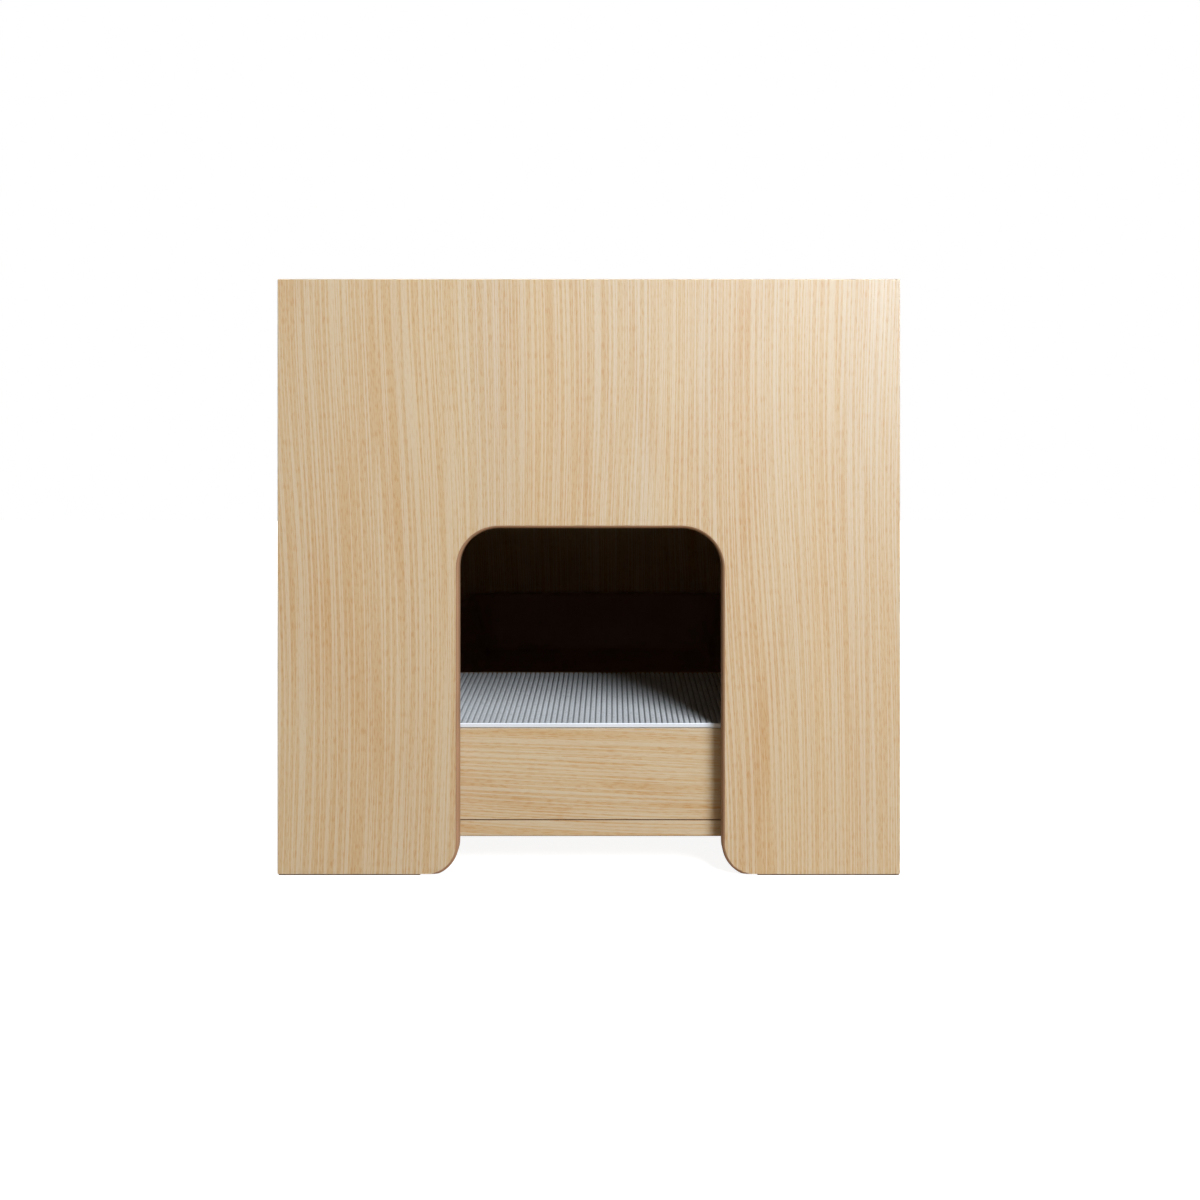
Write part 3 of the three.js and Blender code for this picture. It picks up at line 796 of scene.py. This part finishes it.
def latch_screws():
    """One screw through each ear of a push latch."""
    for end in ("front", "rear"):
        low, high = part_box("latch_housing_" + end)
        x, z = low.x + LATCH_SCREW_IN, high.z - LATCH_EAR_THICK
        for index, y in enumerate((low.y + LATCH_EAR, high.y - LATCH_EAR)):
            screw(f"screw_latch_{end}_{index}", (x, y, z), "-z", BODY)


# ---- stage --------------------------------------------------------------------------------------
SENSOR = 36.0  # millimetres


def photo_camera():
    """A camera that looks along +Y at the arched face, shifted as the photograph is."""
    scale = (FACE_RIGHT - FACE_LEFT) / FACE_WIDTH  # pixels to the metre in the front face's plane
    face_middle = (FACE_LEFT + FACE_RIGHT) / 2
    focal = scale * CAMERA_DISTANCE
    data = bpy.data.cameras.new("photo_camera")
    data.sensor_fit = "HORIZONTAL"
    data.sensor_width = SENSOR
    data.lens = focal / IMAGE_SIZE * data.sensor_width
    data.shift_x = (IMAGE_SIZE / 2 - VANISHING_POINT[0]) / IMAGE_SIZE
    data.shift_y = (VANISHING_POINT[1] - IMAGE_SIZE / 2) / IMAGE_SIZE
    camera = bpy.data.objects.new("photo_camera", data)
    bpy.context.scene.collection.objects.link(camera)
    camera.location = (
        (VANISHING_POINT[0] - face_middle) / scale,
        FRONT_LOW.y - CAMERA_DISTANCE,
        (FACE_BOTTOM - VANISHING_POINT[1]) / scale,
    )
    camera.rotation_euler = (math.radians(90), 0, 0)
    bpy.context.scene.camera = camera


def area_light(name, place, target, size, power, tint=(1.0, 1.0, 1.0)):
    """An oval soft light, turned towards its target."""
    data = bpy.data.lights.new(name, "AREA")
    data.shape = "ELLIPSE"
    data.size, data.size_y = size
    data.energy = power
    data.color = tint
    light = bpy.data.objects.new(name, data)
    bpy.context.scene.collection.objects.link(light)
    light.location = place
    aim = bpy.data.objects.new(name + "_aim", None)
    bpy.context.scene.collection.objects.link(aim)
    aim.location = target
    track = light.constraints.new("TRACK_TO")
    track.target = aim
    track.track_axis = "TRACK_NEGATIVE_Z"
    track.up_axis = "UP_Y"
    return light


def white_for_the_camera(tree, output, lit):
    """Camera, glossy and transmission rays see plain white through a mix with what is lit."""
    path = tree.nodes.new("ShaderNodeLightPath")
    seen = path.outputs["Is Camera Ray"]
    for other in ("Is Glossy Ray", "Is Transmission Ray"):
        most = tree.nodes.new("ShaderNodeMath")
        most.operation = "MAXIMUM"
        tree.links.new(seen, most.inputs[0])
        tree.links.new(path.outputs[other], most.inputs[1])
        seen = most.outputs[0]
    mix = tree.nodes.new("ShaderNodeMixShader")
    tree.links.new(seen, mix.inputs[0])
    tree.links.new(lit, mix.inputs[1])
    tree.links.new(mix.outputs[0], output)
    return mix.inputs[2]


WORLD_LIGHT = 0.075
WORLD_TINT = (1.0, 0.72, 0.46)
FLOOR_OWN_WHITE = 0.91  # the rest of the floor's white is lit, and so keeps the shadow
FLOOR_REACH = 2.2
KEY_LIGHT = {
    "place": (1.56, -2.38, 2.83), "target": (0.0, -0.35, 0.2), "size": (1.35, 2.7), "power": 226.0,
}
CHAMBER_GLOW = {
    "place": (0.0, 0.0, 0.49), "target": (0.0, 0.15, 0.05), "size": (0.35, 0.35), "power": 0.012,
    "tint": (1.0, 0.55, 0.28),
}
SHEEN_CARD = {
    "place": (0.95, -1.75, 1.05), "target": (0.27, -0.35, 0.5), "size": (0.7, 0.7), "power": 225.0,
    "tint": (0.74, 0.88, 1.0),
}
BACK_FILL = {
    "place": (-2.0, 2.8, 1.6), "target": (0.0, 0.0, 0.25), "size": (2.0, 1.6), "power": 105.0,
}


def pale_room():
    """A dim warm room, which the camera sees as white."""
    world = bpy.data.worlds.new("pale_room")
    bpy.context.scene.world = world
    world.use_nodes = True
    tree = world.node_tree
    room = tree.nodes["Background"]
    room.inputs["Color"].default_value = (*WORLD_TINT, 1.0)
    room.inputs["Strength"].default_value = WORLD_LIGHT
    white = tree.nodes.new("ShaderNodeBackground")
    white.inputs["Color"].default_value = (1.0, 1.0, 1.0, 1.0)
    white.inputs["Strength"].default_value = 1.0
    output = tree.nodes["World Output"].inputs["Surface"]
    tree.links.new(white.outputs[0], white_for_the_camera(tree, output, room.outputs[0]))


def studio_floor():
    """A floor that the camera sees as white with a shadow, and that sends dim warm light back."""
    mesh = bpy.data.meshes.new("studio_floor")
    r = FLOOR_REACH
    mesh.from_pydata([(-r, -r, 0), (r, -r, 0), (r, r, 0), (-r, r, 0)], [], [(0, 1, 2, 3)])
    floor = bpy.data.objects.new("studio_floor", mesh)
    bpy.context.scene.collection.objects.link(floor)
    paint = bpy.data.materials.new("studio_floor_paint")
    paint.use_nodes = True
    tree = paint.node_tree
    shader = tree.nodes["Principled BSDF"]
    shader.inputs["Base Color"].default_value = (*colours().floor, 1.0)
    shader.inputs["Roughness"].default_value = 0.9
    shader.inputs["Specular IOR Level"].default_value = 0.0
    bounce = tree.nodes.new("ShaderNodeBsdfDiffuse")
    bounce.inputs["Color"].default_value = (*colours().floor_bounce, 1.0)
    own_white = tree.nodes.new("ShaderNodeEmission")
    own_white.inputs["Strength"].default_value = FLOOR_OWN_WHITE
    both = tree.nodes.new("ShaderNodeAddShader")
    tree.links.new(own_white.outputs[0], both.inputs[0])
    tree.links.new(shader.outputs[0], both.inputs[1])
    output = tree.nodes["Material Output"].inputs["Surface"]
    tree.links.new(both.outputs[0], white_for_the_camera(tree, output, bounce.outputs[0]))
    mesh.materials.append(paint)


def studio_lights():
    area_light("key_light", **KEY_LIGHT).visible_glossy = False
    # the glow that the boards throw about inside the chamber
    glow = area_light("chamber_glow", **CHAMBER_GLOW)
    glow.visible_camera = glow.visible_glossy = False
    # shows the back and the left side, and doesn't reach the front face
    area_light("back_fill", **BACK_FILL).visible_glossy = False
    # a card that only shows as a soft gloss on the front panel's upper right
    card = area_light("sheen_card", **SHEEN_CARD)
    card.visible_diffuse = card.visible_camera = False
    lit_boards = bpy.data.collections.new("sheen_boards")
    lit_boards.objects.link(bpy.data.objects["front_panel_board"])
    card.light_linking.receiver_collection = lit_boards


# ---- operators ----------------------------------------------------------------------------------
class CABINET_OT_end_panels(bpy.types.Operator):
    """Build the arched front panel and the footed rear panel"""

    bl_idname = "cabinet.end_panels"
    bl_label = "End panels"

    def execute(self, context):
        front_board()
        rear_board()
        return {"FINISHED"}


class CABINET_OT_boards(bpy.types.Operator):
    """Finish the side, top, base, step and door boards in oak laminate"""

    bl_idname = "cabinet.boards"
    bl_label = "Boards and doors"

    def execute(self, context):
        other_boards()
        return {"FINISHED"}


class CABINET_OT_lipping(bpy.types.Operator):
    """Build the brown edging round the arch"""

    bl_idname = "cabinet.lipping"
    bl_label = "Arch edging"

    def execute(self, context):
        arch_lipping()
        return {"FINISHED"}


class CABINET_OT_mat(bpy.types.Operator):
    """Build the ribbed mat on the step"""

    bl_idname = "cabinet.mat"
    bl_label = "Ribbed mat"

    def execute(self, context):
        ribbed_mat()
        return {"FINISHED"}


class CABINET_OT_pan(bpy.types.Operator):
    """Build the litter pan in the chamber"""

    bl_idname = "cabinet.pan"
    bl_label = "Litter pan"

    def execute(self, context):
        litter_pan()
        return {"FINISHED"}


class CABINET_OT_hardware(bpy.types.Operator):
    """Finish the hinges, latches, cams, dowels and felt, and add the screws"""

    bl_idname = "cabinet.hardware"
    bl_label = "Hardware"

    def execute(self, context):
        hardware_finish()
        hinge_screws()
        latch_screws()
        return {"FINISHED"}


class CABINET_OT_stage(bpy.types.Operator):
    """Set up the camera, the light, the pale floor and the background"""

    bl_idname = "cabinet.stage"
    bl_label = "Stage"

    def execute(self, context):
        photo_camera()
        pale_room()
        studio_floor()
        studio_lights()
        context.scene.view_settings.view_transform = "Standard"
        return {"FINISHED"}


STEPS = (
    CABINET_OT_end_panels,
    CABINET_OT_boards,
    CABINET_OT_lipping,
    CABINET_OT_mat,
    CABINET_OT_pan,
    CABINET_OT_hardware,
    CABINET_OT_stage,
)


class CABINET_PT_panel(bpy.types.Panel):
    """Lists the cabinet's settings and building steps"""

    bl_idname = "CABINET_PT_panel"
    bl_label = "Litter Cabinet"
    bl_space_type = "VIEW_3D"
    bl_region_type = "UI"
    bl_category = "Litter Cabinet"

    def draw(self, context):
        for title, group in (("Sizes", sizes()), ("Colours", colours())):
            box = self.layout.box()
            box.label(text=title)
            for name in group.bl_rna.properties.keys():
                if name not in ("rna_type", "name"):
                    box.prop(group, name)
        column = self.layout.column()
        for step in STEPS:
            column.operator(step.bl_idname)


CLASSES = (CABINET_PG_sizes, CABINET_PG_colours, *STEPS, CABINET_PT_panel)


def register():
    for cls in CLASSES:
        bpy.utils.register_class(cls)
    bpy.types.Scene.cabinet_sizes = PointerProperty(type=CABINET_PG_sizes)
    bpy.types.Scene.cabinet_colours = PointerProperty(type=CABINET_PG_colours)


def unregister():
    del bpy.types.Scene.cabinet_colours
    del bpy.types.Scene.cabinet_sizes
    for cls in reversed(CLASSES):
        bpy.utils.unregister_class(cls)


def main():
    register()
    for step in STEPS:
        group, name = step.bl_idname.split(".")
        getattr(getattr(bpy.ops, group), name)()


if __name__ == "__main__":
    main()
